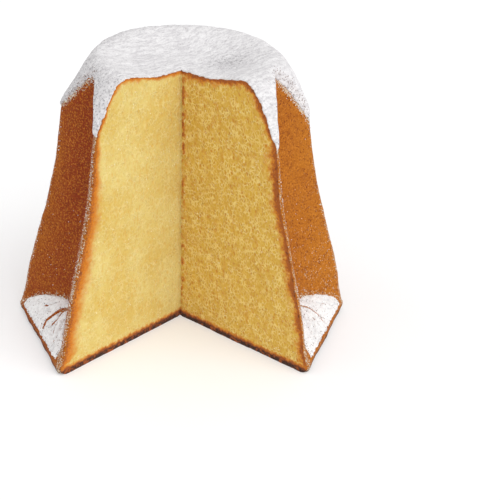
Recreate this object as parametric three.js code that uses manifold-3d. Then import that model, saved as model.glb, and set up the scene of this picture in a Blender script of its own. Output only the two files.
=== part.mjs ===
// A pandoro: a tall eight-pointed loaf of sweet bread, standing on its wide end under icing
// sugar, with a quarter cut out of it.
//
// Millimetres, +Z up. The origin is on the axis of the loaf, in the plane that it stands on.
// The missing quarter faces -Y. The points of the star lie at every 45 degrees from -Y.

import * as THREE from 'three';
import { mergeVertices } from 'three/addons/utils/BufferGeometryUtils.js';
import Module from 'manifold-3d';

const wasm = await Module();
wasm.setup();

// ---------------------------------------------------------------- driving dimensions

const STAR_POINTS = 8;
const HALF_POINT = Math.PI / STAR_POINTS;
const SEGMENTS = 96;

// The corner line of one point of the star, from the foot up, as [radius, height]. The
// baked ridge is blunt, so it stands a few millimetres inside this line.
const RIDGE_LINE = [
  [122.6, 4.5],
  [121.3, 9],
  [119.4, 16],
  [116.6, 31],
  [112.6, 48],
  [107.7, 65],
  [102.3, 83],
  [96.5, 105],
  [93.1, 120],
  [88.9, 145],
  [86.2, 165],
  [84.2, 187],
  [82.8, 205],
];
const FOOT_EDGE = [
  [115, 0],
  [120.5, 1.4],
];
const BLUNT_ANGLE = THREE.MathUtils.degToRad(1.5);

// The lathe's steps crowd towards ridges and valleys by this much, where the section bends.
const CROWDING = 0.7;

// Radius of a valley over radius of a ridge: the flutes keep nearly the same depth all the way up.
const LOW_VALLEY = 0.72;
const HIGH_VALLEY = 0.71;
const VALLEY_CHANGE_FROM = 60;
const TOP_OF_STAR = 205;

// The crown closes the top: a slightly hollow middle, a crest, and a round shoulder.
const CROWN_LINE = [
  [14, 187.6],
  [32, 188.6],
  [48, 191.4],
  [57, 192.6],
  [62.5, 191.4],
  [66.5, 187.6],
  [70.5, 182],
  [75, 174],
  [79.5, 165.5],
  [83.5, 157.5],
  [88, 147],
];
const CROWN_CENTRE = 187.5;
const CROWN_REACH = 140;
const BELOW_BASE = 20;

// The foot: between two points the dough filled the rim of its mould into a sloping ledge.
const LEDGE_FLAT = 110;
const LEDGE_EDGE = [
  [104.5, 0],
  [108.8, 1.2],
  [110, 4],
];
const LEDGE_RIM = 6.5;
const LEDGE_RISE = 19.5;
const LEDGE_RUN = 26;
const LEDGE_STEPS = 6;

// The cut quarter.
const CUT_APEX = new THREE.Vector2(-2.5, -9.7);
const CUT_LEFT = THREE.MathUtils.degToRad(46);
const CUT_RIGHT = THREE.MathUtils.degToRad(48);
const CUT_LENGTH = 220;

// Icing sugar lies on the crown and on the ledges, a hair above the crust.
const SUGAR_GAP = 0.3;
const CAP_THICKNESS = 1.5;
const LEDGE_SUGAR_THICKNESS = 1.2;
const LEDGE_SUGAR_FLAT = 109;
const LEDGE_SUGAR_HALF_ANGLE = THREE.MathUtils.degToRad(18.5);

const MERGE_DISTANCE = 1e-4;

// ---------------------------------------------------------------- materials

const crust = new THREE.MeshStandardMaterial({ color: 0xa65a22, roughness: 0.8, metalness: 0 });
const sugar = new THREE.MeshStandardMaterial({ color: 0xf1eff0, roughness: 0.95, metalness: 0 });

// ---------------------------------------------------------------- solids and meshes

/** The manifold solid of a closed geometry. */
function toSolid(geometry) {
  const bare = geometry.clone();
  bare.deleteAttribute('normal');
  bare.deleteAttribute('uv');
  const merged = mergeVertices(bare, MERGE_DISTANCE);
  return new wasm.Manifold(new wasm.Mesh({
    numProp: 3,
    vertProperties: new Float32Array(merged.attributes.position.array),
    triVerts: new Uint32Array(merged.index.array),
  }));
}

/** A named mesh of a manifold solid. */
function toMesh(name, solid, material) {
  const result = solid.getMesh();
  const geometry = new THREE.BufferGeometry();
  geometry.setAttribute('position', new THREE.BufferAttribute(result.vertProperties, 3));
  geometry.setIndex(new THREE.BufferAttribute(result.triVerts, 1));
  geometry.computeVertexNormals();
  const mesh = new THREE.Mesh(geometry, material);
  mesh.name = name;
  return mesh;
}

/** Points of an outline, as vectors. */
function outline(pairs) {
  return pairs.map(([radius, height]) => new THREE.Vector2(radius, height));
}

/** An outline that runs up or inwards, moved outwards along its own normals. */
function moved(points, distance) {
  return points.map((point, i) => {
    const before = points[Math.max(i - 1, 0)];
    const after = points[Math.min(i + 1, points.length - 1)];
    const along = after.clone().sub(before).normalize();
    return new THREE.Vector2(point.x + along.y * distance, point.y - along.x * distance);
  });
}

/**
 * A lathed solid about +Z whose round section is reshaped.
 * section(angle, radius, height) gives the radius at an angle from the nearest ridge.
 * The steps of the lathe are crowded where the section bends.
 */
function flutedLathe(points, segments, section) {
  const geometry = new THREE.LatheGeometry(points, segments);
  geometry.rotateX(Math.PI / 2);
  const position = geometry.attributes.position;
  for (let i = 0; i < position.count; i += 1) {
    const x = position.getX(i);
    const y = position.getY(i);
    const radius = Math.hypot(x, y);
    if (radius > MERGE_DISTANCE) {
      const even = Math.atan2(x, -y);
      const wave = (2 * Math.PI * even) / HALF_POINT;
      const turned = even - ((CROWDING * HALF_POINT) / (2 * Math.PI)) * Math.sin(wave);
      const turn = turned / (2 * HALF_POINT);
      const angle = Math.abs(turn - Math.round(turn)) * 2 * HALF_POINT;
      const reshaped = section(angle, radius, position.getZ(i));
      position.setXY(i, reshaped * Math.sin(turned), -reshaped * Math.cos(turned));
    }
  }
  return toSolid(geometry);
}

/** Radius of a valley over radius of a ridge, at a height. */
function valleyRatio(height) {
  const share = THREE.MathUtils.clamp(
    (height - VALLEY_CHANGE_FROM) / (TOP_OF_STAR - VALLEY_CHANGE_FROM), 0, 1);
  return THREE.MathUtils.lerp(LOW_VALLEY, HIGH_VALLEY, share);
}

/** The star: straight flanks from corner to valley, with both ends blunted. */
function starSection(angle, corner, height) {
  const fromRidge = Math.hypot(angle, BLUNT_ANGLE);
  const fromValley = Math.hypot(HALF_POINT - angle, BLUNT_ANGLE);
  const blunted = fromRidge + HALF_POINT - fromValley - angle;
  const valley = corner * valleyRatio(height);
  return (corner * valley * Math.sin(HALF_POINT))
    / (corner * Math.sin(blunted) + valley * Math.sin(HALF_POINT - blunted));
}

/** An octagon with its corners on the ridges. */
function octagonSection(angle, corner) {
  return (corner * Math.cos(HALF_POINT)) / Math.cos(HALF_POINT - angle);
}

/** A prism that stands on the plane of the base and rises past the crown. */
function tallPrism(corners) {
  const geometry = new THREE.ExtrudeGeometry(new THREE.Shape(corners), {
    depth: TOP_OF_STAR + 2 * BELOW_BASE,
    bevelEnabled: false,
  });
  geometry.translate(0, 0, -BELOW_BASE);
  return toSolid(geometry);
}

// ---------------------------------------------------------------- the shapes of the loaf

/** The eight-pointed body, before its top is closed, with its flanks moved out by a clearance. */
function starBody(clearance) {
  const ridge = moved(outline([...FOOT_EDGE, ...RIDGE_LINE]), clearance);
  ridge[0].y = 0;
  ridge[ridge.length - 1].y = TOP_OF_STAR;
  const points = [new THREE.Vector2(0, 0), ...ridge, new THREE.Vector2(0, TOP_OF_STAR)];
  return flutedLathe(points, SEGMENTS, starSection);
}

/** Everything under the crown, with the crown raised by a distance. */
function underCrown(raised) {
  const line = outline([[0, CROWN_CENTRE], ...CROWN_LINE]).reverse();
  const crown = moved(line, raised);
  crown[crown.length - 1].x = 0;
  const points = [
    new THREE.Vector2(0, -BELOW_BASE),
    new THREE.Vector2(CROWN_REACH, -BELOW_BASE),
    new THREE.Vector2(CROWN_REACH, crown[0].y),
    ...crown,
  ];
  return flutedLathe(points, SEGMENTS, (angle, radius) => radius);
}

/** The octagonal foot with its rounded ledges, raised by a distance. */
function ledges(raised) {
  const slope = [];
  for (let i = 0; i <= LEDGE_STEPS; i += 1) {
    const share = i / LEDGE_STEPS;
    const height = LEDGE_RIM + LEDGE_RISE * (1 - (1 - share) ** 2);
    slope.push(new THREE.Vector2(LEDGE_FLAT - share * LEDGE_RUN, height));
  }
  const raisedSlope = moved(slope, raised);
  raisedSlope[0].x = LEDGE_FLAT;
  const flat = [...outline(LEDGE_EDGE), ...raisedSlope];
  const corner = 1 / Math.cos(HALF_POINT);
  const points = [
    new THREE.Vector2(0, 0),
    ...flat.map((point) => new THREE.Vector2(point.x * corner, point.y)),
    new THREE.Vector2(0, LEDGE_RIM + LEDGE_RISE + raised),
  ];
  return flutedLathe(points, SEGMENTS, octagonSection);
}

/** The missing quarter: a prism whose edge is the line where the two cuts meet. */
function cutQuarter() {
  const left = new THREE.Vector2(-Math.sin(CUT_LEFT), -Math.cos(CUT_LEFT));
  const right = new THREE.Vector2(Math.sin(CUT_RIGHT), -Math.cos(CUT_RIGHT));
  return tallPrism([
    CUT_APEX,
    CUT_APEX.clone().addScaledVector(left, CUT_LENGTH),
    CUT_APEX.clone().addScaledVector(right, CUT_LENGTH),
  ]);
}

// ---------------------------------------------------------------- the pieces

const quarter = cutQuarter();
const body = starBody(0);
const foot = ledges(0);

/** The loaf itself: crust and crumb in one piece. */
function makeLoaf() {
  return body.add(foot).intersect(underCrown(0)).subtract(quarter);
}

/** The sugar on the crown, down to where the shoulder meets the flanks. */
function makeSugarCap() {
  const layer = underCrown(SUGAR_GAP + CAP_THICKNESS).subtract(underCrown(SUGAR_GAP));
  return layer.intersect(body).subtract(quarter);
}

/** The sugar on one ledge, at an angle from -Y. */
function makeLedgeSugar(layer, angle) {
  const reach = LEDGE_SUGAR_FLAT;
  const half = reach * Math.tan(LEDGE_SUGAR_HALF_ANGLE);
  const turned = (x, y) => new THREE.Vector2(x, y).rotateAround(new THREE.Vector2(), angle);
  const sector = tallPrism([turned(0, 0), turned(half, -reach), turned(-half, -reach)].reverse());
  return layer.intersect(sector);
}

const pandoro = new THREE.Group();
pandoro.add(toMesh('pandoro_loaf', makeLoaf(), crust));
pandoro.add(toMesh('icing_sugar_cap', makeSugarCap(), sugar));

const ledgeLayer = ledges(SUGAR_GAP + LEDGE_SUGAR_THICKNESS)
  .subtract(ledges(SUGAR_GAP))
  .subtract(starBody(SUGAR_GAP));
const firstLedge = 1;
const lastLedge = STAR_POINTS - 2;
for (let i = firstLedge; i <= lastLedge; i += 1) {
  const angle = (2 * i + 1) * HALF_POINT;
  pandoro.add(toMesh(`icing_sugar_ledge_${i}`, makeLedgeSugar(ledgeLayer, angle), sugar));
}

export default pandoro;
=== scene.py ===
"""A pandoro with a quarter cut out of it: baked crust, open crumb and icing sugar.

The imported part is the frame. Shapes are worked out in millimetres, in the frame's own axes, and
handed to Blender in metres. An azimuth is measured about +Z from -Y, which is where the missing
quarter opens, and it grows towards +X.
"""

from __future__ import annotations

import logging
import math
import random
from dataclasses import dataclass, field
from enum import Enum, IntEnum

import bmesh
import bpy
from mathutils import Matrix, Vector, geometry, noise
from mathutils.bvhtree import BVHTree


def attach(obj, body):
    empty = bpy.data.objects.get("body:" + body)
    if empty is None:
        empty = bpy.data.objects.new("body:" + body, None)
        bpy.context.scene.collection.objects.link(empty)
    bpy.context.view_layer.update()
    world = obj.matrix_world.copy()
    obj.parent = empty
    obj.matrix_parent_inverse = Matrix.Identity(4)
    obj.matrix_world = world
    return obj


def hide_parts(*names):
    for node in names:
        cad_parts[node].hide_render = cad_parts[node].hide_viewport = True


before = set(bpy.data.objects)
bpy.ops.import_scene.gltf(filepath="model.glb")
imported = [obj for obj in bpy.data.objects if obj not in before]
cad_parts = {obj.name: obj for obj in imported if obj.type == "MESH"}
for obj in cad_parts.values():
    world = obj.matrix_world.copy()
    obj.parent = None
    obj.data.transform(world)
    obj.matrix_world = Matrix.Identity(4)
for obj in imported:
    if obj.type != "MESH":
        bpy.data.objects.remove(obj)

LOG = logging.getLogger("pandoro")
MM = 0.001
SMALL = 1e-4
FULL_TURN = 2 * math.pi
ROOT = "root"

Pair = tuple[float, float]
Colour = tuple[float, float, float]
Socket = bpy.types.NodeSocket

# Numbers that the vertices carry while a mesh is made.
COVER = "cover"
NUMBER = "number"

# Numbers that the vertices carry for the finishes.
DUST = "sugar_dust"
BAKE = "bake"
# 1 on the right cut face, whose crumb is painted darker and more golden, with stronger pores, as painted
# shade.
PAINTED_SHADE_FACE = "painted_shade_face"
# Tone and painted shade: darker valleys on the crust, plus painted shade on the left side of the crust
# and the crown's sugar, and in the sugar's dent.
TONE_AND_PAINTED_SHADE = "tone_and_painted_shade"


# ---------------- small sums


def srgb(red: int, green: int, blue: int) -> Colour:
    """A colour given as it looks on a screen, made linear.

    Args:
        red, green, blue: Each from 0 to 255.

    Returns:
        The linear colour.
    """

    def linear(level: int) -> float:
        """One level made linear."""
        share = level / 255
        return share / 12.92 if share <= 0.04045 else ((share + 0.055) / 1.055) ** 2.4

    return linear(red), linear(green), linear(blue)


def clamp(value: float, low: float = 0.0, high: float = 1.0) -> float:
    """The value, kept between low and high."""
    return min(max(value, low), high)


def smooth(low: float, high: float, value: float) -> float:
    """A soft step that is 0 at low and 1 at high."""
    share = clamp((value - low) / (high - low))
    return share * share * (3 - 2 * share)


def lerp(first: float, second: float, share: float) -> float:
    """The value that lies a share of the way from first to second."""
    return first + (second - first) * share


def curve_through(points: tuple[Pair, ...], x: float) -> float:
    """A smooth curve through points that are sorted by x.

    Args:
        points: The points, as (x, y).
        x: Where the curve is read. Past either end it keeps the end's value.

    Returns:
        The height of the curve.
    """
    if x <= points[0][0]:
        return points[0][1]
    if x >= points[-1][0]:
        return points[-1][1]
    i = next(k for k in range(1, len(points)) if x <= points[k][0]) - 1

    def slope(k: int) -> float:
        """The slope at a point, from its two neighbours."""
        before, after = points[max(k - 1, 0)], points[min(k + 1, len(points) - 1)]
        return (after[1] - before[1]) / (after[0] - before[0])

    (x0, y0), (x1, y1) = points[i], points[i + 1]
    run = x1 - x0
    t = (x - x0) / run
    rise_0, rise_1 = slope(i) * run, slope(i + 1) * run
    bend = 2 * (y0 - y1) + rise_0 + rise_1
    return y0 + t * (rise_0 + t * (3 * (y1 - y0) - 2 * rise_0 - rise_1 + t * bend))


def at(azimuth: float, radius: float, height: float) -> Vector:
    """The point at an azimuth, a radius and a height."""
    return Vector((radius * math.sin(azimuth), -radius * math.cos(azimuth), height))


def azimuth_of(point: Vector) -> float:
    """The azimuth of a point."""
    return math.atan2(point.x, -point.y)


def from_opening(azimuth: float) -> float:
    """The same azimuth, measured the shorter way round from the middle of the missing quarter."""
    return math.remainder(azimuth, FULL_TURN)


def rightness(azimuth: float) -> float:
    """1 on the right of the loaf, 0 on its left and 0.5 at the front and the back."""
    return 0.5 + 0.5 * math.sin(azimuth)


def noise_at(x: float, y: float, z: float) -> float:
    """Smooth noise from -1 to 1, with lumps of about 1 in size."""
    return noise.noise(Vector((x, y, z)))


# ---------------- the form of the loaf


@dataclass(frozen=True)
class StarForm:
    """The outer form of the whole loaf, before it is cut, in millimetres.

    The ridge line and the edge of the foot are points (height, radius), and the crown line is points
    (radius, height). A skirt is how far the crown's sugar hangs below the shoulder, as (left, right).
    Where something begins or ends over a range, the range is given as a pair.
    """

    points: int = 8
    ridge_line: tuple[Pair, ...] = (
        (0, 115), (1.4, 120.5), (4.5, 122.6), (9, 121.3), (16, 119.4), (31, 116.6), (48, 112.6),
        (65, 107.7), (83, 102.3), (105, 96.5), (120, 93.1), (145, 88.9), (165, 86.2),
        (187, 84.2), (205, 82.8),
    )
    blunt: float = math.radians(1.5)
    ridge_trim: tuple[float, ...] = (0, 0, 0.5, -0.5, 0.7, -0.4, 2.2, 2.6)
    trim_heights: tuple[Pair, ...] = ((8, 0), (30, 0.6), (80, 1), (175, 1), (205, 0.8))
    ridge_turn: tuple[Pair, ...] = ((0, 0.7), (40, 0.9), (150, 1.75), (205, 2.0))
    right_turn: float = 1.5
    low_valley: float = 0.72
    high_valley: float = 0.71
    valley_change: Pair = (60, 205)
    crown_line: tuple[Pair, ...] = (
        (0, 187.5), (14, 187.6), (32, 188.6), (48, 191.4), (57, 192.6), (62.5, 191.4),
        (66.5, 187.6), (70.5, 182), (75, 174), (79.5, 165.5), (83.5, 157.5), (88, 147),
    )
    crown_search: Pair = (50, 88)
    corner_halvings: int = 24
    back_swell: float = 3.5
    back_swell_begins: Pair = (20, 58)
    left_sag: float = 3.5
    left_sag_at: float = math.radians(-95)
    left_sag_width: float = math.radians(34)
    left_sag_begins: Pair = (48, 64)
    left_sag_ends: Pair = (69, 84)
    left_sag_lost: float = 0.8
    foot_edge: tuple[Pair, ...] = ((0, 106.8), (1.2, 109.4), (4, 110), (6.5, 110))
    ledge_flat: float = 110
    ledge_rim: float = 6.5
    ledge_rise: float = 19.5
    ledge_run: float = 26
    ledge_step: float = 0.25
    cut_skirt: float = 0.7
    ridge_skirt: Pair = (1.0, 7.2)
    valley_skirt: Pair = (7.0, 1.3)
    flank_skirt: Pair = (0.0, 7.0)
    cut_skirt_ends: Pair = (0.02, 0.6)
    shortest_ledge: float = 2.5

    @property
    def half_point(self) -> float:
        """The angle from a ridge to the next valley."""
        return math.pi / self.points

    @property
    def spacing(self) -> float:
        """The angle from a ridge to the next, and so the azimuth of the ridge at the right of the cut."""
        return 2 * self.half_point

    def from_ridge(self, azimuth: float) -> float:
        """The angle from the nearest ridge."""
        turn = azimuth / self.spacing
        return abs(turn - round(turn)) * self.spacing

    def star_radius(self, azimuth: float, height: float) -> float:
        """The radius of the star: straight flanks, with ridges and valleys blunted.

        Each ridge differs a little from its neighbours, and the two beside the cut are turned towards it.

        Args:
            azimuth: In radians.
            height: In millimetres.

        Returns:
            The radius in millimetres.
        """
        half = self.half_point
        angle = self.from_ridge(azimuth)
        number = round(azimuth / self.spacing) % self.points
        if number in (1, self.points - 1):
            turn = math.radians(curve_through(self.ridge_turn, height)) * (1 - angle / half)
            turn *= self.right_turn if number == 1 else 1
            outside = abs(from_opening(azimuth)) > self.spacing
            angle = abs(angle + turn if outside else angle - turn)
        ridge = curve_through(self.ridge_line, height)
        low, high = self.valley_change
        valley = ridge * lerp(self.low_valley, self.high_valley, clamp((height - low) / (high - low)))
        near = math.hypot(angle, self.blunt)
        if self.ridge_trim[number]:
            trim = self.ridge_trim[number] * curve_through(self.trim_heights, height)
            ridge -= trim * (1 - angle / half)
        blunted = near + half - math.hypot(half - angle, self.blunt) - angle
        across = ridge * math.sin(blunted) + valley * math.sin(half - blunted)
        return ridge * valley * math.sin(half) / across

    def ledge_radius(self, azimuth: float, height: float) -> float:
        """The radius of the eight-sided foot with its rounded ledges, or 0 above them."""
        if height <= self.ledge_rim:
            flat = curve_through(self.foot_edge, height)
        elif height < self.ledge_rim + self.ledge_rise:
            climbed = (height - self.ledge_rim) / self.ledge_rise
            flat = self.ledge_flat - self.ledge_run * (1 - math.sqrt(1 - climbed))
        else:
            return 0.0
        return flat / math.cos(self.half_point - self.from_ridge(azimuth))

    def under_flank(self, azimuth: float, height: float) -> bool:
        """Whether the foot lies inside the star there."""
        return self.ledge_radius(azimuth, height) < self.star_radius(azimuth, height)

    def side_radius(self, azimuth: float, height: float) -> float:
        """The radius of the side of the loaf."""
        return max(self.star_radius(azimuth, height), self.ledge_radius(azimuth, height))

    def crown_height(self, azimuth: float, radius: float) -> float:
        """The height of the crown, which swells a little at the back and is narrower on the left."""
        behind = 0.5 - 0.5 * math.cos(azimuth)
        swell = self.back_swell * behind * smooth(*self.back_swell_begins, radius)
        aside = from_opening(azimuth - self.left_sag_at) / self.left_sag_width
        sag = self.left_sag * math.exp(-(aside**2)) * smooth(*self.left_sag_begins, radius)
        sag *= 1 - self.left_sag_lost * smooth(*self.left_sag_ends, radius)
        return curve_through(self.crown_line, radius + sag) + swell

    def shoulder(self, azimuth: float) -> Pair:
        """Where the crown meets the side.

        Args:
            azimuth: In radians.

        Returns:
            The radius and the height of that corner.
        """
        low, high = self.crown_search
        for _ in range(self.corner_halvings):
            middle = (low + high) / 2
            inside = self.star_radius(azimuth, self.crown_height(azimuth, middle)) > middle
            low, high = (middle, high) if inside else (low, middle)
        return low, self.crown_height(azimuth, low)

    def sugar_border(self, azimuth: float) -> float:
        """The height at which the icing sugar of the crown ends, without its raggedness.

        It hangs further down in the valleys on the left, and further down the ridges on the right.

        Args:
            azimuth: In radians.

        Returns:
            The height in millimetres.
        """
        right = rightness(azimuth)
        valley = self.from_ridge(azimuth) / self.half_point
        hanging = lerp(lerp(*self.ridge_skirt, right), lerp(*self.valley_skirt, right), valley)
        hanging += lerp(*self.flank_skirt, right) * 4 * valley * (1 - valley)
        beside_cut = abs(from_opening(azimuth)) < self.spacing + self.half_point
        if beside_cut:
            hanging = lerp(self.cut_skirt, hanging, smooth(*self.cut_skirt_ends, valley))
        return self.shoulder(azimuth)[1] - hanging

    def ledge_top(self, azimuth: float) -> float:
        """The height at which the ledge runs into the flank."""
        height = self.ledge_rim + self.ledge_rise - SMALL
        while height > self.ledge_rim and self.under_flank(azimuth, height):
            height -= self.ledge_step
        return max(height, self.ledge_rim + self.shortest_ledge)

    def side_points(self, azimuth: float, low: float, high: float, count: int) -> list[Pair]:
        """Evenly spaced points up the side.

        Args:
            azimuth: In radians.
            low, high: The heights of the ends.
            count: How many points, both ends among them.

        Returns:
            The points, as (radius, height).
        """
        steps = max(2, round((high - low) / self.ledge_step))
        heights = [lerp(low, high, k / steps) for k in range(steps + 1)]
        return evenly([(self.side_radius(azimuth, z), z) for z in heights], count)

    def crown_points(self, azimuth: float, count: int) -> list[Pair]:
        """Evenly spaced points over the crown, from the shoulder to beside the axis."""
        radius, _ = self.shoulder(azimuth)
        steps = 3 * count
        radii = [radius * (1 - k / steps) for k in range(steps)]
        return evenly([(r, self.crown_height(azimuth, r)) for r in radii], count)


def evenly(line: list[Pair], count: int) -> list[Pair]:
    """Points spaced evenly along a line.

    Args:
        line: The corners of the line.
        count: How many points to give, both ends among them.

    Returns:
        The points.
    """
    lengths = [0.0]
    for (x0, y0), (x1, y1) in zip(line, line[1:]):
        lengths.append(lengths[-1] + math.hypot(x1 - x0, y1 - y0))
    points, k = [], 0
    for i in range(count):
        wanted = lengths[-1] * i / (count - 1)
        while k < len(line) - 2 and lengths[k + 1] < wanted:
            k += 1
        span = lengths[k + 1] - lengths[k]
        share = clamp((wanted - lengths[k]) / span) if span > 0 else 0.0
        points.append((lerp(line[k][0], line[k + 1][0], share), lerp(line[k][1], line[k + 1][1], share)))
    return points


# The lumps of the swollen dough, as (height, width), and those of its lower edge.
DOUGH_LUMPS: tuple[Pair, ...] = ((0.55, 26), (0.3, 9), (0.14, 3.2))
EDGE_LUMPS: Pair = (0.8, 7)
EDGE_SHIFT = Vector((5, 5, 5))
EDGE_HEIGHT = 9.0
FLAT_BELOW = 1.5


def swelling(place: Vector) -> float:
    """How far the dough swelled out of its even form at a place, in millimetres."""
    swollen = sum(height * noise.noise(place / width) for height, width in DOUGH_LUMPS)
    height, width = EDGE_LUMPS
    edge = height * noise.noise(place / width + EDGE_SHIFT) * clamp(1 - place.z / EDGE_HEIGHT)
    return (swollen + edge) * clamp(place.z / FLAT_BELOW)


# ---------------- meshes


def face_outwards(bm: bmesh.types.BMesh) -> None:
    """Turns the faces of a mesh to one side, which is the outside of a closed one."""
    bmesh.ops.recalc_face_normals(bm, faces=bm.faces[:])


def rolled_skin(rings: int, segments: int, closed_below: bool) -> bmesh.types.BMesh:
    """A round skin whose vertices carry the number of their ring as their height.

    Args:
        rings: How many rings there are between the poles.
        segments: How many steps there are around.
        closed_below: Whether the skin has a lower pole, or is open there.

    Returns:
        The skin, with a pole at the top.
    """
    lowest = 0 if closed_below else 1
    steps = rings + 1 - lowest
    bm = bmesh.new()
    bmesh.ops.create_grid(bm, x_segments=segments, y_segments=steps, size=0.5)
    for vert in bm.verts:
        ring = round((vert.co.y + 0.5) * steps) + lowest
        radius = 0 if ring in (0, rings + 1) else 1
        vert.co = at(FULL_TURN * vert.co.x, radius, ring)
    bmesh.ops.remove_doubles(bm, verts=bm.verts[:], dist=SMALL)
    return bm


def thicken(bm: bmesh.types.BMesh, sunk: float) -> None:
    """Turns an open skin into a layer of powder that follows the swollen crust.

    Args:
        bm: The skin, whose COVER layer says how thick the powder is over each vertex.
        sunk: How far the underside lies inside the crust.
    """
    face_outwards(bm)
    if sum(face.normal.z for face in bm.faces) < 0:
        bmesh.ops.reverse_faces(bm, faces=bm.faces[:])
    bm.normal_update()
    cover = bm.verts.layers.float[COVER]
    number = bm.verts.layers.int[NUMBER]
    starts = []
    for vert in bm.verts:
        vert[number] = len(starts)
        starts.append((vert.co + vert.normal * swelling(vert.co), vert.normal.copy(), vert[cover]))
    grown = bmesh.ops.extrude_face_region(bm, geom=bm.faces[:], use_keep_orig=True)["geom"]
    upper = {part for part in grown if isinstance(part, bmesh.types.BMVert)}
    for vert in bm.verts:
        place, normal, height = starts[vert[number]]
        vert.co = place + normal * (height if vert in upper else -sunk)
    face_outwards(bm)


def crowded(azimuth: float, form: StarForm, crowding: float) -> float:
    """An azimuth moved towards the nearest ridge or valley, where the section bends."""
    half = form.half_point
    return azimuth - crowding * half / FULL_TURN * math.sin(FULL_TURN * azimuth / half)


def to_object(name: str, bm: bmesh.types.BMesh, materials: list[bpy.types.Material]) -> bpy.types.Object:
    """A Blender object, in metres, of a mesh in millimetres.

    Args:
        name: The name of the piece.
        bm: The mesh, which is freed.
        materials: Its materials, in the order of their slots.

    Returns:
        The object, at the origin.
    """
    bmesh.ops.scale(bm, vec=(MM, MM, MM), verts=bm.verts[:])
    mesh = bpy.data.meshes.new(name)
    bm.to_mesh(mesh)
    bm.free()
    piece = bpy.data.objects.new(name, mesh)
    bpy.context.scene.collection.objects.link(piece)
    for material in materials:
        mesh.materials.append(material)
    return piece


def cut_by(piece: bpy.types.Object, cutter: bpy.types.Object) -> None:
    """Takes the cutter out of a closed piece, and keeps the material of each of the cutter's faces."""
    modifier = piece.modifiers.new("cut", "BOOLEAN")
    modifier.operation = "DIFFERENCE"
    modifier.solver = "MANIFOLD"
    modifier.object = cutter
    graph = bpy.context.evaluated_depsgraph_get()
    whole = piece.data
    result = bpy.data.meshes.new_from_object(piece.evaluated_get(graph))
    piece.modifiers.clear()
    name = whole.name
    piece.data = result
    bpy.data.meshes.remove(whole)
    result.name = name


def shade_smooth(piece: bpy.types.Object) -> None:
    """Smooth shading, with a crisp edge where two materials meet."""
    bm = bmesh.new()
    bm.from_mesh(piece.data)
    for face in bm.faces:
        face.smooth = True
    for edge in bm.edges:
        edge.smooth = len({face.material_index for face in edge.link_faces}) < 2
    bm.to_mesh(piece.data)
    bm.free()


class Slot(Enum):
    """The record's material slots."""

    LOAF = "crust_and_crumb"
    SUGAR = "icing_sugar"


def settle(piece: bpy.types.Object, slot: Slot, *nodes: str) -> None:
    """Puts a finished piece on the frame.

    Args:
        piece: The piece.
        slot: Not used.
        nodes: The CAD nodes that it stands for.
    """
    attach(piece, ROOT)
    if nodes:
        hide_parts(*nodes)
    LOG.info("%s: %d faces", piece.name, len(piece.data.polygons))


# ---------------- shader language


class MixSocket(IntEnum):
    """The numbers of a Mix node's sockets when it mixes colours."""

    FACTOR = 0
    BELOW = 6
    ABOVE = 7
    RESULT = 2


class Num:
    """A number that changes over a surface. Python's operators add Math nodes to it."""

    def __init__(self, shader: Shader, socket: Socket) -> None:
        self.shader = shader
        self.socket = socket

    def _maths(self, operation: str, first: Num | float, second: Num | float) -> Num:
        """One Math node."""
        return self.shader.number("Math", {"operation": operation}, {0: first, 1: second})

    def __add__(self, other: Num | float) -> Num:
        """This plus other."""
        return self._maths("ADD", self, other)

    def __sub__(self, other: Num | float) -> Num:
        """This minus other."""
        return self._maths("SUBTRACT", self, other)

    def __rsub__(self, other: float) -> Num:
        """Other minus this."""
        return self._maths("SUBTRACT", other, self)

    def __mul__(self, other: Num | float) -> Num:
        """This times other."""
        return self._maths("MULTIPLY", self, other)

    __radd__ = __add__
    __rmul__ = __mul__

    def either(self, other: Num | float) -> Num:
        """The larger of this and other."""
        return self._maths("MAXIMUM", self, other)

    def step(self, low: float, high: float) -> Num:
        """A soft step that is 0 at low and 1 at high, and falls where low is above high."""
        settings = {"interpolation_type": "SMOOTHSTEP"}
        if low < high:
            inputs = {"Value": self, "From Min": low, "From Max": high}
        else:
            inputs = {"Value": self, "From Min": high, "From Max": low, "To Min": 1.0, "To Max": 0.0}
        return self.shader.number("MapRange", settings, inputs)


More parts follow.
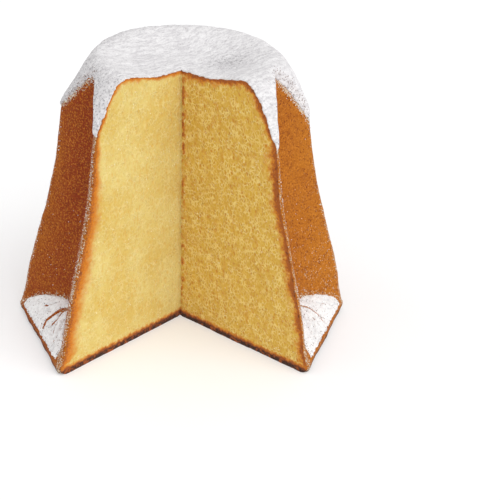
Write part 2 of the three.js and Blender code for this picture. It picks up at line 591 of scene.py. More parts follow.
class Shader:
    """A material under construction. Its coordinates are the object's own, in millimetres."""

    def __init__(self, name: str) -> None:
        self.material = bpy.data.materials.new(name)
        self.material.use_nodes = True
        self.tree = self.material.node_tree
        self.tree.nodes.clear()
        place = self.node("TexCoord").outputs["Object"]
        self.place = self.turned(place, scale=(1 / MM, 1 / MM, 1 / MM))
        split = self.node("SeparateXYZ", {}, {0: self.place})
        self.height = Num(self, split.outputs["Z"])

    def node(
        self, kind: str, settings: dict | None = None, inputs: dict | None = None,
    ) -> bpy.types.Node:
        """Adds a node.

        Args:
            kind: The node's type, without the word ShaderNode before it.
            settings: Its settings, which are set first.
            inputs: Values or links for its sockets, by name or number.

        Returns:
            The node.
        """
        node = self.tree.nodes.new("ShaderNode" + kind)
        for key, value in (settings or {}).items():
            setattr(node, key, value)
        for key, value in (inputs or {}).items():
            source = value.socket if isinstance(value, Num) else value
            if isinstance(source, Socket):
                self.tree.links.new(source, node.inputs[key])
            else:
                node.inputs[key].default_value = source
        return node

    def number(self, kind: str, settings: dict, inputs: dict) -> Num:
        """A node's first output, as a number."""
        return Num(self, self.node(kind, settings, inputs).outputs[0])

    def turned(
        self, place: Socket, scale: Colour = (1, 1, 1), turn: Colour = (0, 0, 0),
    ) -> Socket:
        """A place that is turned and then scaled.

        Args:
            place: The coordinates.
            scale: Factors along X, Y and Z.
            turn: Angles about X, Y and Z, in radians.

        Returns:
            The new coordinates.
        """
        round_about = self.node("Mapping", {}, {"Vector": place, "Rotation": turn}).outputs[0]
        return self.node("Mapping", {}, {"Vector": round_about, "Scale": scale}).outputs[0]

    def clouds(
        self, grain: float, detail: float = 3, place: Socket | None = None, rough: float = 0.55,
    ) -> Num:
        """Noise from 0 to 1 about 0.5, with lumps of about a grain in millimetres."""
        inputs = {"Vector": place or self.place, "Scale": 1 / grain, "Detail": detail, "Roughness": rough}
        return self.number("TexNoise", {"noise_dimensions": "3D"}, inputs)

    def cells(self, grain: float, place: Socket | None = None) -> tuple[Num, Num]:
        """Cells like those of a foam.

        Args:
            grain: The width of a cell in millimetres.
            place: The coordinates, or None for the object's own.

        Returns:
            The distance from the middle of the cell, and a number that each cell draws for itself.
        """
        settings = {"feature": "F1", "voronoi_dimensions": "3D"}
        node = self.node("TexVoronoi", settings, {"Vector": place or self.place, "Scale": 1 / grain})
        drawn = self.node("SeparateColor", {}, {0: node.outputs["Color"]}).outputs[0]
        return Num(self, node.outputs["Distance"]), Num(self, drawn)

    def walls(self, grain: float, place: Socket) -> Num:
        """The distance from the walls between such cells."""
        settings = {"feature": "DISTANCE_TO_EDGE", "voronoi_dimensions": "3D"}
        return self.number("TexVoronoi", settings, {"Vector": place, "Scale": 1 / grain})

    def attribute(self, name: str) -> Num:
        """A number kept on the mesh."""
        node = self.node("Attribute", {"attribute_type": "GEOMETRY", "attribute_name": name})
        return Num(self, node.outputs["Fac"])

    def shifted(self, grain: float, reach: float) -> Socket:
        """The object's coordinates, moved about by up to a reach in millimetres, so that lines waver."""
        drift = self.node("TexNoise", {}, {"Vector": self.place, "Scale": 1 / grain, "Detail": 2.0})
        centred = self.vector("SUBTRACT", drift.outputs["Color"], (0.5, 0.5, 0.5))
        scaled = self.vector("MULTIPLY", centred, (2 * reach, 2 * reach, 2 * reach))
        return self.vector("ADD", self.place, scaled)

    def vector(self, operation: str, first: object, second: object) -> Socket:
        """One Vector Math node."""
        return self.node("VectorMath", {"operation": operation}, {0: first, 1: second}).outputs[0]

    def blend(self, share: Num, below: object, above: object) -> Socket:
        """A colour that goes from below to above as share goes from 0 to 1."""
        inputs = {
            MixSocket.FACTOR: share,
            MixSocket.BELOW: below if isinstance(below, Socket) else (*below, 1),
            MixSocket.ABOVE: above if isinstance(above, Socket) else (*above, 1),
        }
        return self.node("Mix", {"data_type": "RGBA"}, inputs).outputs[MixSocket.RESULT]

    def bump(
        self, height: Num, depth: float, below: Socket | None = None,
    ) -> Socket:
        """A normal for a height from 0 to 1 that stands a depth in millimetres proud."""
        inputs = {"Height": height, "Distance": depth * MM, "Strength": 1.0}
        if below is not None:
            inputs["Normal"] = below
        return self.node("Bump", {}, inputs).outputs[0]

    def finish(
        self, colour: Socket, rough: Num | float, normal: Socket,
        gloss: float = 0.3, fuzz: float = 0.0, glow: float = 0.0,
    ) -> bpy.types.Material:
        """Closes the material.

        Args:
            colour: The base colour.
            rough: The roughness.
            normal: The normal.
            gloss: The specular level, the same all over.
            fuzz: The weight of the sheen, the same all over.
            glow: The strength with which the base colour shines by itself, the same all over.

        Returns:
            The material.
        """
        inputs = {
            "Base Color": colour, "Roughness": rough, "Normal": normal,
            "Specular IOR Level": gloss, "Sheen Weight": fuzz, "Sheen Roughness": 0.6,
        }
        if glow > 0:
            inputs |= {"Emission Color": colour, "Emission Strength": glow}
        surface = self.node("BsdfPrincipled", {}, inputs)
        self.node("OutputMaterial", {}, {"Surface": surface.outputs[0]})
        return self.material


# ---------------- finishes


@dataclass(frozen=True)
class Powder:
    """White specks of icing sugar on another finish."""

    colour: Colour = srgb(222, 208, 184)
    coarse: float = 1.1
    fine: float = 0.65

    def mask(self, shader: Shader, amount: Num) -> Num:
        """Specks that cover about the given share of the surface."""
        near, drawn = shader.cells(self.coarse)
        big = (amount * 0.7 - drawn).step(0.0, 0.12) * near.step(0.62, 0.38)
        near_fine, drawn_fine = shader.cells(self.fine)
        small = (amount * 1.15 - drawn_fine).step(0.0, 0.1) * near_fine.step(0.7, 0.4)
        return big.either(small)


@dataclass(frozen=True)
class Crust:
    """The baked outside: orange brown on the ridges, redder in the valleys, burnt at the base, and
    painted shade on the left side.
    """

    ridge: Colour = srgb(176, 105, 22)
    valley: Colour = srgb(134, 49, 10)
    speck: Colour = srgb(112, 42, 8)
    glint: Colour = srgb(206, 130, 44)
    burnt: Colour = srgb(62, 30, 16)
    powder: Powder = Powder()

    def material(self) -> bpy.types.Material:
        """The finish."""
        s = Shader("baked_crust")
        patches = s.clouds(38, 3)
        # The tone number darkens the valleys and paints shade on the left side, away from the key light.
        toned = s.attribute(TONE_AND_PAINTED_SHADE) + (patches - 0.5) * 1.0 + s.height.step(60, 170) * 0.12
        colour = s.blend(toned.step(0.0, 1.0), self.ridge, self.valley)
        mottled = s.clouds(5.5, 4, rough=0.65)
        colour = s.blend(mottled.step(0.5, 0.72) * 0.5, colour, self.speck)
        peel, drawn = s.cells(1.25, s.shifted(3, 0.5))
        colour = s.blend(drawn.step(0.5, 0.75) * peel.step(0.6, 0.2), colour, self.speck)
        grain = s.clouds(1.2, 3, rough=0.7)
        colour = s.blend(grain.step(0.5, 0.62) * 0.62, colour, self.glint)
        low = s.height + (mottled - 0.5) * 9
        colour = s.blend(low.step(6.5, 1.0) * 0.85, colour, self.burnt)
        amount = s.attribute(DUST) * (s.clouds(9, 3).step(0.25, 0.6) * 0.6 + 0.5)
        dusted = self.powder.mask(s, amount)
        colour = s.blend(dusted * 0.92, colour, self.powder.colour)
        normal = s.bump(peel.step(0.0, 0.7), 0.16)
        normal = s.bump(mottled, 0.5, normal)
        normal = s.bump(dusted, 0.25, normal)
        return s.finish(colour, 0.7 + dusted * 0.25, normal, gloss=0.15)


@dataclass(frozen=True)
class Crumb:
    """The cut inside: soft yellow, with pores between lighter walls, baked orange near the crust, and
    painted shade on the right face.
    """

    pale: Colour = srgb(220, 199, 120)
    deep: Colour = srgb(212, 182, 92)
    painted_shade_body: Colour = srgb(213, 170, 62)
    painted_shade_body_deep: Colour = srgb(200, 156, 54)
    painted_shade_pore: Colour = srgb(198, 134, 34)
    painted_shade_wall: Colour = srgb(238, 210, 128)
    pore: Colour = srgb(212, 168, 70)
    wall: Colour = srgb(240, 222, 158)
    spark: Colour = srgb(246, 236, 196)
    orange: Colour = srgb(205, 120, 16)
    brown: Colour = srgb(150, 74, 20)
    burnt: Colour = srgb(58, 28, 14)

    def material(self) -> bpy.types.Material:
        """The finish."""
        s = Shader("yellow_crumb")
        # The right face turns away from the key light: there the crumb is painted darker and more golden,
        # with stronger pores and walls, as painted shade.
        painted_shade_face = s.attribute(PAINTED_SHADE_FACE)
        drift = s.shifted(6, 1.4)
        stretched = s.turned(drift, scale=(1.0, 1.0, 0.65), turn=(0.12, 0.16, 0))
        clouds = s.clouds(30, 3)
        body = s.blend(clouds.step(0.35, 0.65), self.pale, self.deep)
        body = s.blend(painted_shade_face, body, s.blend(clouds.step(0.3, 0.7) * 0.5, self.painted_shade_body, self.painted_shade_body_deep))
        wide, drawn = s.cells(2.3, stretched)
        small, drawn_small = s.cells(1.2, stretched)
        wide_pore = wide.step(0.5, 0.24) * drawn.step(0.45, 0.7)
        small_pore = small.step(0.52, 0.22) * drawn_small.step(0.35, 0.65)
        pores = wide_pore.either(small_pore * 0.75)
        walls = s.walls(1.95, stretched)
        web = walls.step(0.21, 0.04) * (s.clouds(5, 3).step(0.36, 0.62) * 0.85 + 0.15)
        pore_colour = s.blend(painted_shade_face, self.pore, self.painted_shade_pore)
        colour = s.blend(pores * (painted_shade_face * 0.33 + 0.52), body, pore_colour)
        colour = s.blend(web * (painted_shade_face * 0.43 + 0.42), colour, s.blend(painted_shade_face, self.wall, self.painted_shade_wall))
        sparks, drawn_spark = s.cells(1.5, drift)
        lit = sparks.step(0.5, 0.2) * drawn_spark.step(0.8, 0.92) * s.clouds(7, 3).step(0.42, 0.62)
        colour = s.blend(lit * 0.6, colour, self.spark)
        streaks = s.clouds(2.2, 3, s.turned(drift, scale=(1, 1, 0.22)))
        colour = s.blend(streaks.step(0.54, 0.72) * 0.5, colour, pore_colour)
        ragged = s.attribute(BAKE) + (s.clouds(2.5, 3) - 0.5) * 0.35 + (s.clouds(14, 2) - 0.5) * 0.3
        colour = s.blend(ragged.step(0.14, 0.78), colour, self.orange)
        spots = s.clouds(3.2, 3, rough=0.6)
        fine_spots = s.clouds(1.3, 3, rough=0.7)
        browned = (ragged + painted_shade_face * 0.2 + (fine_spots - 0.5) * 0.9).step(0.7, 1.02)
        colour = s.blend(browned * 0.85, colour, self.brown)
        charred = (ragged + painted_shade_face * 0.1 + (spots - 0.5) * 1.6).step(1.05, 1.3)
        colour = s.blend(charred * 0.6, colour, self.burnt)
        low = s.height + (spots - 0.5) * 6
        colour = s.blend(low.step(7.4, 5.2) * 0.9, colour, self.orange)
        colour = s.blend(low.step(5.8, 3.8), colour, self.brown)
        colour = s.blend(low.step(4.8, 2.6) * spots.step(0.36, 0.52), colour, self.burnt)
        openness = 1 - pores * (painted_shade_face * 0.6 + 0.4)
        normal = s.bump(openness, 0.25)
        normal = s.bump(web, 0.2, normal)
        normal = s.bump(s.clouds(0.9, 3), 0.35, normal)
        return s.finish(colour, 0.85, normal, gloss=0.2, fuzz=0.1)


COMBED = math.radians(-42)


@dataclass(frozen=True)
class IcingSugar:
    """Dry powder: slightly cool white, combed into fine ripples with painted shade in their troughs, with
    grey speckles of painted shade and a few brown flecks.
    """

    name: str = "icing_sugar"
    white: Colour = (0.86, 0.845, 0.85)
    shade: Colour = (0.66, 0.64, 0.655)
    deep_painted_shade: Colour = (0.37, 0.355, 0.365)
    fleck: Colour = srgb(112, 78, 60)
    ripple_turn: float = COMBED
    ripple_stretch: float = 0.3
    flecks: float = 0.02
    speckled: float = 0.3

    def material(self) -> bpy.types.Material:
        """The finish."""
        s = Shader(self.name)
        drift = s.shifted(12, 2.5)
        combed = s.turned(drift, scale=(self.ripple_stretch, 1, 1), turn=(0, 0, self.ripple_turn))
        ripples = s.clouds(2.2, 4, combed, rough=0.65)
        soft = s.clouds(22, 2)
        # Painted shade in the ripples' troughs and in broad soft patches.
        colour = s.blend(ripples.step(0.6, 0.34) * 0.9, self.white, self.shade)
        colour = s.blend(soft.step(0.6, 0.25) * 0.25, colour, self.shade)
        # On the sugar this number is all painted shade: on the left shoulder and in the dent. The grey
        # speckles of painted shade grow with it.
        tone_and_painted_shade = s.attribute(TONE_AND_PAINTED_SHADE)
        speckle = s.clouds(1.5, 3, rough=0.7)
        colour = s.blend(speckle.step(0.5, 0.64) * (tone_and_painted_shade * 1.3 + self.speckled), colour, self.deep_painted_shade)
        colour = s.blend(tone_and_painted_shade * 0.28, colour, self.deep_painted_shade)
        near, drawn = s.cells(1.0)
        amount = s.attribute(DUST)
        flecks = (amount * 0.5 + self.flecks - drawn).step(0.0, 0.03) * near.step(0.5, 0.3)
        colour = s.blend(flecks * 0.85, colour, self.fleck)
        normal = s.bump(ripples, 1.3)
        normal = s.bump(s.clouds(0.7, 3), 0.3, normal)
        return s.finish(colour, 0.95, normal, gloss=0.1, fuzz=0.05)


# A whiter copy of the icing sugar for the ledges and the loose grains: the extra whiteness is painted
# light on sugar that lies in shade.
PAINTED_LIGHT_LEDGE_SUGAR = IcingSugar(
    "painted_light_ledge_sugar", white=(0.965, 0.96, 0.955), shade=(0.83, 0.805, 0.8),
    ripple_stretch=0.7, flecks=0.05, speckled=0.15,
)


@dataclass(frozen=True)
class PaleFloor:
    """A plain matt floor of thin white sheet, lit a little from below."""

    colour: Colour = (0.72, 0.72, 0.72)
    other: Colour = (0.71, 0.71, 0.713)
    glow: float = 0.4

    def material(self) -> bpy.types.Material:
        """The finish."""
        s = Shader("pale_floor")
        colour = s.blend(s.clouds(160, 2), self.colour, self.other)
        return s.finish(colour, 0.8, s.bump(s.clouds(3, 2), 0.02), gloss=0.1, glow=self.glow)


# ---------------- the cut


@dataclass(frozen=True)
class CutStyle:
    """How a material gives way to the knife.

    The pores' depth and the reach of the extra unevenness of powder are in millimetres, and slot is
    the number of the material that the knife leaves on the cut.
    """

    pores: float
    crumbling: float
    slot: int


CRUMB_CUT = CutStyle(pores=0.4, crumbling=0.0, slot=1)
SUGAR_CUT = CutStyle(pores=0.3, crumbling=1.7, slot=0)


@dataclass
class Knife:
    """The missing quarter, as a solid whose two faces carry the texture of cut crumb.

    Each pair of sizes is the width and the height of a kind of lump in millimetres.
    """

    apex: Vector = field(default_factory=lambda: Vector((-2.5, -9.7, 0)))
    left: float = math.radians(-46)
    right: float = math.radians(48)
    reach: float = 122.4
    beyond: float = 205
    low: float = -6
    high: float = 212
    step: float = 0.9
    face_shift: float = 60
    broad_waves: Pair = (34, 22)
    narrow_waves: Pair = (8, 7)
    fine_waves: Pair = (2.3, 3.0)
    pore_size: Pair = (3.1, 4.4)
    pore_lean: float = 0.18
    left_pores: float = 0.55
    groove_depth: Pair = (0.5, 1.5)
    groove_width: Pair = (2.2, 1.6)
    rounded_apex: float = 3

    def direction(self, azimuth: float) -> Vector:
        """The level direction of an azimuth."""
        return at(azimuth, 1, 0)

    def into_loaf(self, side: int) -> Vector:
        """The direction from the open quarter into the loaf, on the left (-1) or the right (1)."""
        along = self.direction(self.left if side < 0 else self.right)
        return Vector((-along.y * side, along.x * side, 0))

    def clearance(self, place: Vector) -> float:
        """The distance from a place outside the quarter to the nearer of the two cuts, in millimetres."""
        away = Vector((place.x - self.apex.x, place.y - self.apex.y, 0))
        left, right = (away.dot(self.into_loaf(side)) for side in (-1, 1))
        return max(left, right)

    def depth(self, side: int, along: float, height: float, style: CutStyle) -> float:
        """How far the cut face lies inside the knife's plane, in millimetres.

        Args:
            side: -1 on the left face, 1 on the right.
            along: The distance from the line where the two cuts meet.
            height: The height.
            style: How the material gives way.

        Returns:
            The depth, which may be negative where crumb stands proud.
        """
        shift = self.face_shift * side

        def waves(size: Pair, further: float) -> float:
            """Unevenness with lumps of a size."""
            return noise_at(along / size[0], height / size[1], shift + further)

        uneven = 0.5 * waves(self.broad_waves, 0) + 0.28 * waves(self.narrow_waves, 9)
        fine = 0.16 * waves(self.fine_waves, 20)
        leaning = along + self.pore_lean * height
        across, up = self.pore_size
        distances, centres = noise.voronoi(Vector((leaning / across, height / up, shift + 5)))
        chance = 0.5 + 0.5 * noise.noise(centres[0] * 7.3)
        hole = clamp(1 - distances[0] / 0.5)
        pores = style.pores * (self.left_pores if side < 0 else 1.0)
        pit = pores * smooth(0, 0.8, hole) * smooth(0.42, 0.62, chance)
        width, more = self.groove_width
        near_apex = clamp(1 - along / (width + more * noise_at(height / 6, shift, 2)))
        groove = self.groove_depth[side > 0] * near_apex * (0.7 + 0.6 * noise_at(height / 3.5, shift, 7))
        crumbled = 0.5 * noise_at(along / 2.1, height / 2.1, 31 * side)
        crumbled += 0.7 * noise_at(along / 5.5, height / 5.5, 43 * side)
        return uneven + fine + pit + groove + style.crumbling * crumbled

    def solid(self, style: CutStyle) -> bpy.types.Object:
        """The cutter: a sheet folded along the two cuts, whose rim runs out to a wall far in front."""
        bm = bmesh.new()
        columns = 2 * round(self.reach / self.step)
        rows = round((self.high - self.low) / self.step)
        bmesh.ops.create_grid(bm, x_segments=columns, y_segments=rows, size=0.5)
        sheet = bm.verts[:]
        for vert in sheet:
            side = -1 if vert.co.x < 0 else 1
            along = abs(vert.co.x) * 2 * self.reach
            height = lerp(self.low, self.high, vert.co.y + 0.5)
            push = self.depth(side, along, height, style)
            blend = clamp(along / self.rounded_apex)
            way = (Vector((0, 1, 0)) * (1 - blend) + self.into_loaf(side) * blend).normalized()
            line = self.direction(self.left if side < 0 else self.right)
            vert.co = self.apex + line * along + way * push + Vector((0, 0, height))
        rim = [edge for edge in bm.edges if edge.is_boundary]
        walls = bmesh.ops.extrude_edge_only(bm, edges=rim)["geom"]
        for vert in (part for part in walls if isinstance(part, bmesh.types.BMVert)):
            level = self.low if vert.co.z < (self.low + self.high) / 2 else self.high
            on_end = abs(vert.co.z - level) < self.step / 2
            vert.co = Vector((vert.co.x, -self.beyond, level if on_end else vert.co.z))
        far = [part for part in walls if isinstance(part, bmesh.types.BMEdge) and part.is_boundary]
        bmesh.ops.contextual_create(bm, geom=far)
        face_outwards(bm)
        for face in bm.faces:
            face.material_index = style.slot
        return to_object("knife", bm, [])

    def cut(self, piece: bpy.types.Object, style: CutStyle) -> None:
        """Takes the missing quarter out of a piece."""
        cutter = self.solid(style)
        cut_by(piece, cutter)
        bpy.data.objects.remove(cutter)


# ---------------- the loaf


@dataclass
class BakedLoaf:
    """The loaf itself, crust and crumb in one closed skin.

    Dust is the share of the crust under icing sugar, and a baked width is how far the bake reaches
    into the crumb. A pair is (left, right), or (near the top, near the foot) on one side or ridge.
    """

    form: StarForm
    knife: Knife
    segments: int = 320
    crowding: float = 0.5
    base_rings: int = 6
    foot_rings: int = 6
    ledge_rings: int = 14
    flank_rings: int = 64
    crown_rings: int = 30
    ridge_strip: float = math.radians(2.2)
    strip_dust: Pair = (0.33, 0.26)
    border_dust: float = 0.9
    ledge_dust: float = 0.5
    dust_reach: float = 5
    ridge_dust: Pair = (0.22, 0.55)
    ridge_dust_width: float = 2.4
    lowest_haze: float = 0.02
    right_haze: float = 0.06
    valley_tone: float = 0.3
    left_painted_shade: float = 0.55
    baked_base: float = 3.8
    baked_top: Pair = (4.4, 7.2)
    baked_right: float = 7.4
    baked_left: Pair = (3.0, 10.5)
    apex_patches: float = 0.66

    def outline(self, azimuth: float) -> list[Pair]:
        """The loaf's outline at an azimuth, from beside the centre of the base to beside the top."""
        form = self.form
        foot = form.side_radius(azimuth, 0)
        base = [(foot * (k + 0.5) / (self.base_rings + 0.5), 0.0) for k in range(self.base_rings)]
        top = form.ledge_top(azimuth)
        _, shoulder = form.shoulder(azimuth)
        return [
            *base,
            *form.side_points(azimuth, 0, form.ledge_rim, self.foot_rings),
            *form.side_points(azimuth, form.ledge_rim, top, self.ledge_rings)[1:],
            *form.side_points(azimuth, top, shoulder, self.flank_rings)[1:],
            *form.crown_points(azimuth, self.crown_rings)[1:],
        ]

    def dust(self, azimuth: float, radius: float, height: float, ledge: float, border: float) -> float:
        """How much icing sugar has settled on the crust at a place.

        Args:
            azimuth, radius, height: The place.
            ledge: The height of the top of the ledge at that azimuth.
            border: The height at which the sugar of the crown ends at that azimuth.

        Returns:
            A share of the surface, from 0 to 1.
        """
        near_sugar = self.border_dust * clamp(1 - (border - height) / self.dust_reach)
        arc = self.form.from_ridge(azimuth) * radius
        lower = clamp((170 - height) / 120)
        on_ridge = math.exp(-((arc / self.ridge_dust_width) ** 2)) * lerp(*self.ridge_dust, lower)
        beside_cut = abs(azimuth) < self.form.spacing + self.ridge_strip / 2
        strip = self.strip_dust[azimuth >= 0] if beside_cut else 0.0
        to_the_right = smooth(0.2, 1.0, math.sin(azimuth)) * clamp((120 - height) / 80)
        haze = self.lowest_haze + self.right_haze * to_the_right
        on_ledge = self.ledge_dust * clamp(1 - abs(height - ledge) / self.dust_reach)
        return max(near_sugar, on_ridge, strip, haze, on_ledge)

    def skin(self) -> bmesh.types.BMesh:
        """The uncut loaf, in millimetres."""
        form = self.form
        columns: dict[int, tuple[float, list[Pair], Pair]] = {}
        rings = len(self.outline(0.0))
        bm = rolled_skin(rings, self.segments, closed_below=True)
        dust = bm.verts.layers.float.new(DUST)
        tone_and_painted_shade = bm.verts.layers.float.new(TONE_AND_PAINTED_SHADE)
        bm.verts.layers.float.new(BAKE)
        bm.verts.layers.float.new(PAINTED_SHADE_FACE)
        for vert in bm.verts:
            ring = round(vert.co.z)
            if ring in (0, rings + 1):
                vert.co = Vector((0, 0, 0 if ring == 0 else form.crown_height(0, 0)))
                continue
            column = round(azimuth_of(vert.co) / FULL_TURN * self.segments)
            if column not in columns:
                azimuth = crowded(azimuth_of(vert.co), form, self.crowding)
                marks = form.ledge_top(azimuth), form.sugar_border(azimuth)
                columns[column] = azimuth, self.outline(azimuth), marks
            azimuth, outline, marks = columns[column]
            radius, height = outline[ring - 1]
            vert.co = at(azimuth, radius, height)
            vert[dust] = self.dust(azimuth, radius, height, *marks)
            valley = form.from_ridge(azimuth) / form.half_point
            # Darker valleys, plus painted shade on the left side, away from the key light.
            vert[tone_and_painted_shade] = self.valley_tone * valley + self.left_painted_shade * (1 - rightness(azimuth))
        face_outwards(bm)
        self.swell(bm)
        return bm

    def swell(self, bm: bmesh.types.BMesh) -> None:
        """Gives the crust the slight unevenness of dough that rose in its mould."""
        bm.normal_update()
        for vert in bm.verts:
            vert.co += vert.normal * swelling(vert.co)

    def baked_width(self, right: bool, place: Vector, nearest: Vector, outwards: Vector) -> float:
        """How far the bake reaches into the crumb at a place on a cut face.

        Args:
            right: Whether it is on the right face.
            place: The place.
            nearest: The nearest place on the crust.
            outwards: The direction in which the crust faces there.

        Returns:
            The width in millimetres.
        """
        near_top = outwards.z > 0.35
        if nearest.z < 0.6:
            width = self.baked_base
        elif near_top:
            width = self.baked_top[right]
        elif right:
            width = self.baked_right
        else:
            width = lerp(*self.baked_left, clamp((160 - place.z) / 60))
        ragged = 0.5 * noise.noise(place / 2.6) + 0.35 * noise.noise(place / 7)
        return width * (1 + ragged * (1.0 if right or near_top else 0.35))

    def bake(self, piece: bpy.types.Object, whole: BVHTree) -> None:
        """Notes how strongly each spot of a cut face is baked, by its distance from the crust, and marks
        the right face, which is painted as shaded.
        """
        bm = bmesh.new()
        bm.from_mesh(piece.data)
        bake = bm.verts.layers.float[BAKE]
        painted_shade_face = bm.verts.layers.float[PAINTED_SHADE_FACE]
        for vert in bm.verts:
            if not any(face.material_index for face in vert.link_faces):
                vert[bake] = 1.0
                continue
            place = vert.co / MM
            nearest, outwards, _, distance = whole.find_nearest(place)
            right = place.x > self.knife.apex.x
            vert[bake] = clamp(1 - distance / self.baked_width(right, place, nearest, outwards))
            along = math.hypot(place.x - self.knife.apex.x, place.y - self.knife.apex.y)
            # Darker orange patches along the line where the two cuts meet, on the right face only.
            if right:
                patch = noise_at(along / 4, 3, place.z / 5) + 0.6 * noise_at(along / 2, 8, place.z / 1.8)
                near_apex = self.apex_patches * smooth(-0.25, 0.3, patch) * clamp(1.3 - along / 7)
                vert[bake] = max(vert[bake], near_apex)
            # Marks the right face, whose crumb is painted as shaded.
            vert[painted_shade_face] = clamp((0.5 if right else -0.5) * along + 0.5)
        bm.to_mesh(piece.data)
        bm.free()

    def build(self) -> None:
        """Makes the loaf and settles it."""
        bm = self.skin()
        whole = BVHTree.FromBMesh(bm)
        piece = to_object("loaf_crust_and_crumb", bm, [Crust().material(), Crumb().material()])
        self.knife.cut(piece, CRUMB_CUT)
        self.bake(piece, whole)
        shade_smooth(piece)
        settle(piece, Slot.LOAF, "pandoro_loaf")


# ---------------- icing sugar


@dataclass
class SugarCap:
    """The icing sugar on the crown, a lumpy skin that thins out to a ragged border."""

    form: StarForm
    knife: Knife
    finish: IcingSugar
    segments: int = 512
    crowding: float = 0.35
    skirt_rings: int = 7
    crown_rings: int = 66
    thickness: float = 1.15
    sunk: float = 0.3
    cut_fade: float = 5.0
    thinnest: float = 0.22
    dent_at: Vector = field(default_factory=lambda: Vector((28, 1, 189)))
    dent_reach: float = 12.0
    dent_depth: float = 1.0
    lump_height: float = 0.45
    ripple_height: float = 0.32
    fine_height: float = 0.16
    grain_height: float = 0.14
    border_rings: int = 9
    left_painted_shade: float = 0.55
    dent_painted_shade: float = 0.9

    def outline(self, azimuth: float) -> list[Pair]:
        """The line under the sugar at an azimuth, from its border to beside the top."""
        _, shoulder = self.form.shoulder(azimuth)
        spot = at(azimuth, 80, 0)
        ragged = 1.3 * noise.noise(spot / 5) + 2.3 * noise.noise(spot / 1.5 + Vector((3, 1, 4)))
        low = min(self.form.sugar_border(azimuth) - ragged, shoulder - 0.2)
        return [
            *self.form.side_points(azimuth, low, shoulder, self.skirt_rings),
            *self.form.crown_points(azimuth, self.crown_rings)[1:],
        ]

    def cover(self, ring: int, place: Vector) -> float:
        """The thickness of the sugar at a place."""
        inner = smooth(0, self.border_rings, ring)
        combed = Matrix.Rotation(COMBED, 3, "Z") @ place
        body = self.thickness + self.lump_height * noise.noise(place / 17)
        body += self.ripple_height * noise_at(combed.x / 16, combed.y / 4.2, combed.z / 5)
        body += self.fine_height * noise_at(combed.x / 6, combed.y / 2.0, combed.z / 2.4)
        grains = noise.noise(place / 1.6) + 1.3 * noise.noise(place / 3.4)
        thin = lerp(0.3, 1.0, smooth(0, self.cut_fade, self.knife.clearance(place)))
        bare = lerp(-self.sunk, self.thinnest, smooth(0, 3, ring))
        return max(inner * thin * body + self.grain_height * grains + 0.1 - self.dent(place), bare)

    def dent(self, place: Vector) -> float:
        """The depth of a shallow dent in the sugar, at a place."""
        return self.dent_depth * math.exp(-(((place - self.dent_at) / self.dent_reach).length ** 2))

    def build(self) -> None:
        """Makes the sugar on the crown and settles it."""
        rings = len(self.outline(0.0))
        bm = rolled_skin(rings, self.segments, closed_below=False)
        dust = bm.verts.layers.float.new(DUST)
        tone_and_painted_shade = bm.verts.layers.float.new(TONE_AND_PAINTED_SHADE)
        cover = bm.verts.layers.float.new(COVER)
        bm.verts.layers.int.new(NUMBER)
        columns: dict[int, tuple[float, list[Pair]]] = {}
        for vert in bm.verts:
            ring = round(vert.co.z)
            if ring == rings + 1:
                vert.co = Vector((0, 0, self.form.crown_height(0, 0)))
                vert[cover] = self.cover(ring, vert.co)
                continue
            column = round(azimuth_of(vert.co) / FULL_TURN * self.segments)
            if column not in columns:
                azimuth = crowded(azimuth_of(vert.co), self.form, self.crowding)
                columns[column] = azimuth, self.outline(azimuth)
            azimuth, outline = columns[column]
            radius, height = outline[ring - 1]
            vert.co = at(azimuth, radius, height)
            vert[dust] = clamp(1 - (ring - 1) / self.border_rings)
            # Painted shade on the left shoulder, away from the key light, and a painted shadow in the
            # dent.
            vert[tone_and_painted_shade] = self.left_painted_shade * (1 - rightness(azimuth)) * clamp((radius - 50) / 14)
            vert[tone_and_painted_shade] += self.dent_painted_shade * self.dent(vert.co) / self.dent_depth
            vert[cover] = self.cover(ring, vert.co)
        thicken(bm, self.sunk)
        piece = to_object("icing_sugar_on_crown", bm, [self.finish.material()])
        self.knife.cut(piece, SUGAR_CUT)
        shade_smooth(piece)
        settle(piece, Slot.SUGAR, "icing_sugar_cap")


